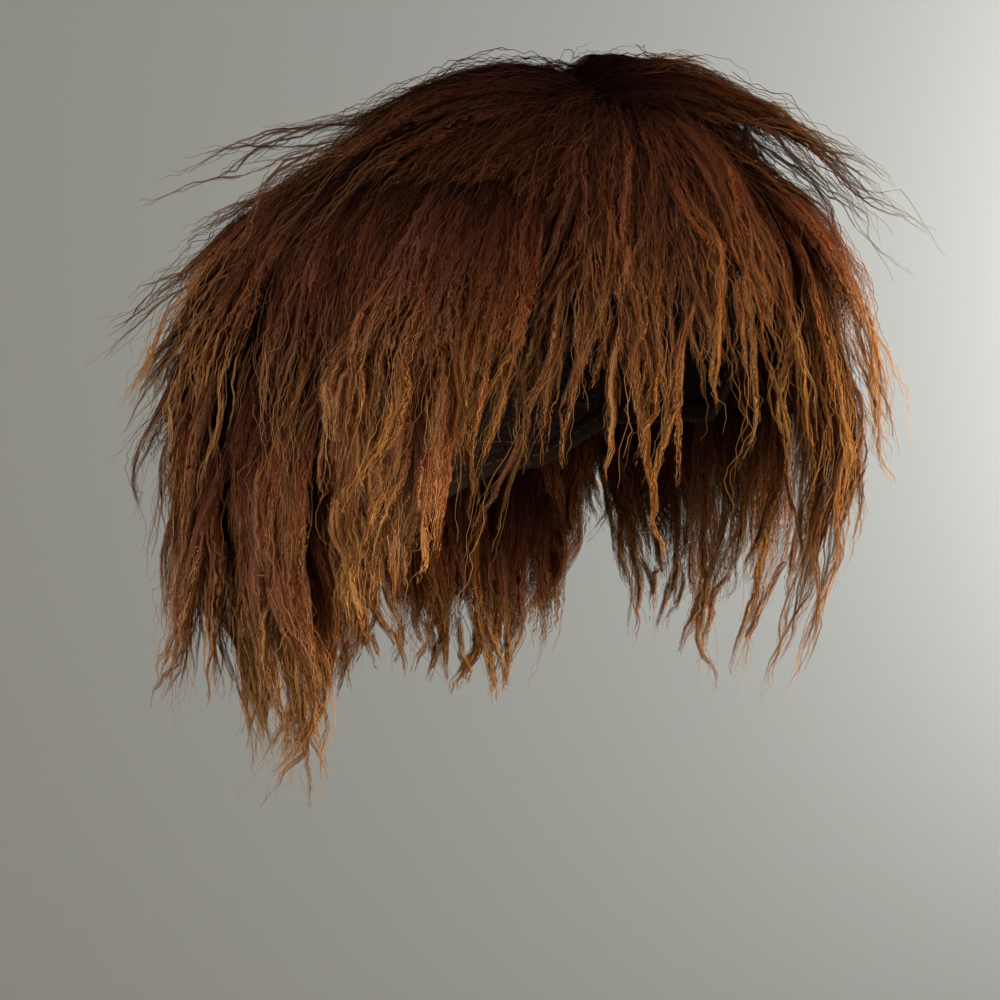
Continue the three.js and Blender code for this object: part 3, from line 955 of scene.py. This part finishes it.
FLOOR_LEVEL = -1.6
FLOOR_RADIUS = 3.0
FLOOR_BEND = 2.0
FLOOR_BEND_STEPS = 16
FLOOR_COLUMNS = 96
FLOOR_CENTRE = 1e-3
WALL_TOP = 7.0
floor_material = bpy.data.materials.new("floor")
floor_material.use_nodes = True
floor_shader = floor_material.node_tree.nodes["Principled BSDF"]
floor_shader.inputs["Base Color"].default_value = (0.25, 0.254, 0.266, 1.0)
floor_shader.inputs["Roughness"].default_value = 0.9
floor_profile = [(0.0, FLOOR_LEVEL), (FLOOR_RADIUS, FLOOR_LEVEL)]
for i in range(1, FLOOR_BEND_STEPS + 1):
    bend = math.pi / 2 * i / FLOOR_BEND_STEPS
    height = FLOOR_LEVEL + FLOOR_BEND * (1 - math.cos(bend))
    floor_profile.append((FLOOR_RADIUS + FLOOR_BEND * math.sin(bend), height))
floor_profile.append((FLOOR_RADIUS + FLOOR_BEND, WALL_TOP))
floor_points = []
floor_faces = []
for radius, height in floor_profile:
    radius = max(radius, FLOOR_CENTRE)
    for column in range(FLOOR_COLUMNS):
        turn = 2 * math.pi * column / FLOOR_COLUMNS
        floor_points.append((radius * math.cos(turn), radius * math.sin(turn), height))
for ring in range(len(floor_profile) - 1):
    for column in range(FLOOR_COLUMNS):
        after = (column + 1) % FLOOR_COLUMNS
        near, far = ring * FLOOR_COLUMNS, (ring + 1) * FLOOR_COLUMNS
        floor_faces.append((near + column, far + column, far + after, near + after))
floor_faces.append(tuple(range(FLOOR_COLUMNS)))
floor = mesh_object("floor", floor_points, floor_faces, floor_material)

world = bpy.data.worlds.new("studio")
world.use_nodes = True
world.node_tree.nodes["Background"].inputs["Color"].default_value = (0.62, 0.64, 0.67, 1.0)
world.node_tree.nodes["Background"].inputs["Strength"].default_value = 0.18
bpy.context.scene.world = world

CAMERA_TURN = math.radians(-38)
CAMERA_RISE = math.radians(6)
CAMERA_DISTANCE = 1.5
CAMERA_LENS = 140
CAMERA_REACH = 50
WIG_MIDDLE = (0.0, 0.0, -0.12)
AIM_LEFT = 0.0104
AIM_DOWN = 0.0249
HAIR_LAYERS_SEEN = 14
to_camera = Vector((
    math.sin(CAMERA_TURN) * math.cos(CAMERA_RISE),
    -math.cos(CAMERA_TURN) * math.cos(CAMERA_RISE),
    math.sin(CAMERA_RISE),
))
right = Vector((math.cos(CAMERA_TURN), math.sin(CAMERA_TURN), 0))
up = to_camera.cross(right)
aim = Vector(WIG_MIDDLE) - right * AIM_LEFT - up * AIM_DOWN


def point_at(thing, place, target):
    """Puts a light or a camera at a place and turns it to a target."""
    thing.location = place
    thing.rotation_euler = (Vector(target) - Vector(place)).to_track_quat("-Z", "Y").to_euler()


def area_light(name, side, back, height, size, power, colour, target=WIG_MIDDLE):
    """A soft square light, placed by how far it stands to the camera's right, behind the wig and above it."""
    light = bpy.data.lights.new(name, "AREA")
    light.size = size
    light.energy = power
    light.color = colour
    holder = bpy.data.objects.new(name, light)
    bpy.context.scene.collection.objects.link(holder)
    away = Vector((-to_camera.x, -to_camera.y, 0)).normalized()
    aimed = right * target[0] + away * target[1] + Vector((0, 0, target[2]))
    point_at(holder, right * side + away * back + Vector((0, 0, height)), aimed)


area_light("key", side=1.7, back=-2.0, height=0.45, size=1.2, power=145, colour=(1.0, 0.96, 0.85))
area_light("fill", side=-1.8, back=-1.8, height=0.2, size=1.5, power=105, colour=(0.98, 0.99, 1.0))
area_light("rim", side=2.0, back=0.2, height=0.3, size=0.8, power=100, colour=(1.0, 0.83, 0.34))
area_light("wall", side=1.7, back=4.2, height=-0.1, size=1.0, power=66, colour=(1.0, 1.0, 0.90),
           target=(1.1, 5.0, -0.3))

camera_data = bpy.data.cameras.new("camera")
camera_data.lens = CAMERA_LENS
camera_data.clip_end = CAMERA_REACH
camera = bpy.data.objects.new("camera", camera_data)
bpy.context.scene.collection.objects.link(camera)
point_at(camera, aim + to_camera * CAMERA_DISTANCE, aim)
bpy.context.scene.camera = camera
bpy.context.scene.view_settings.view_transform = "Standard"
bpy.context.scene.cycles.transparent_max_bounces = HAIR_LAYERS_SEEN
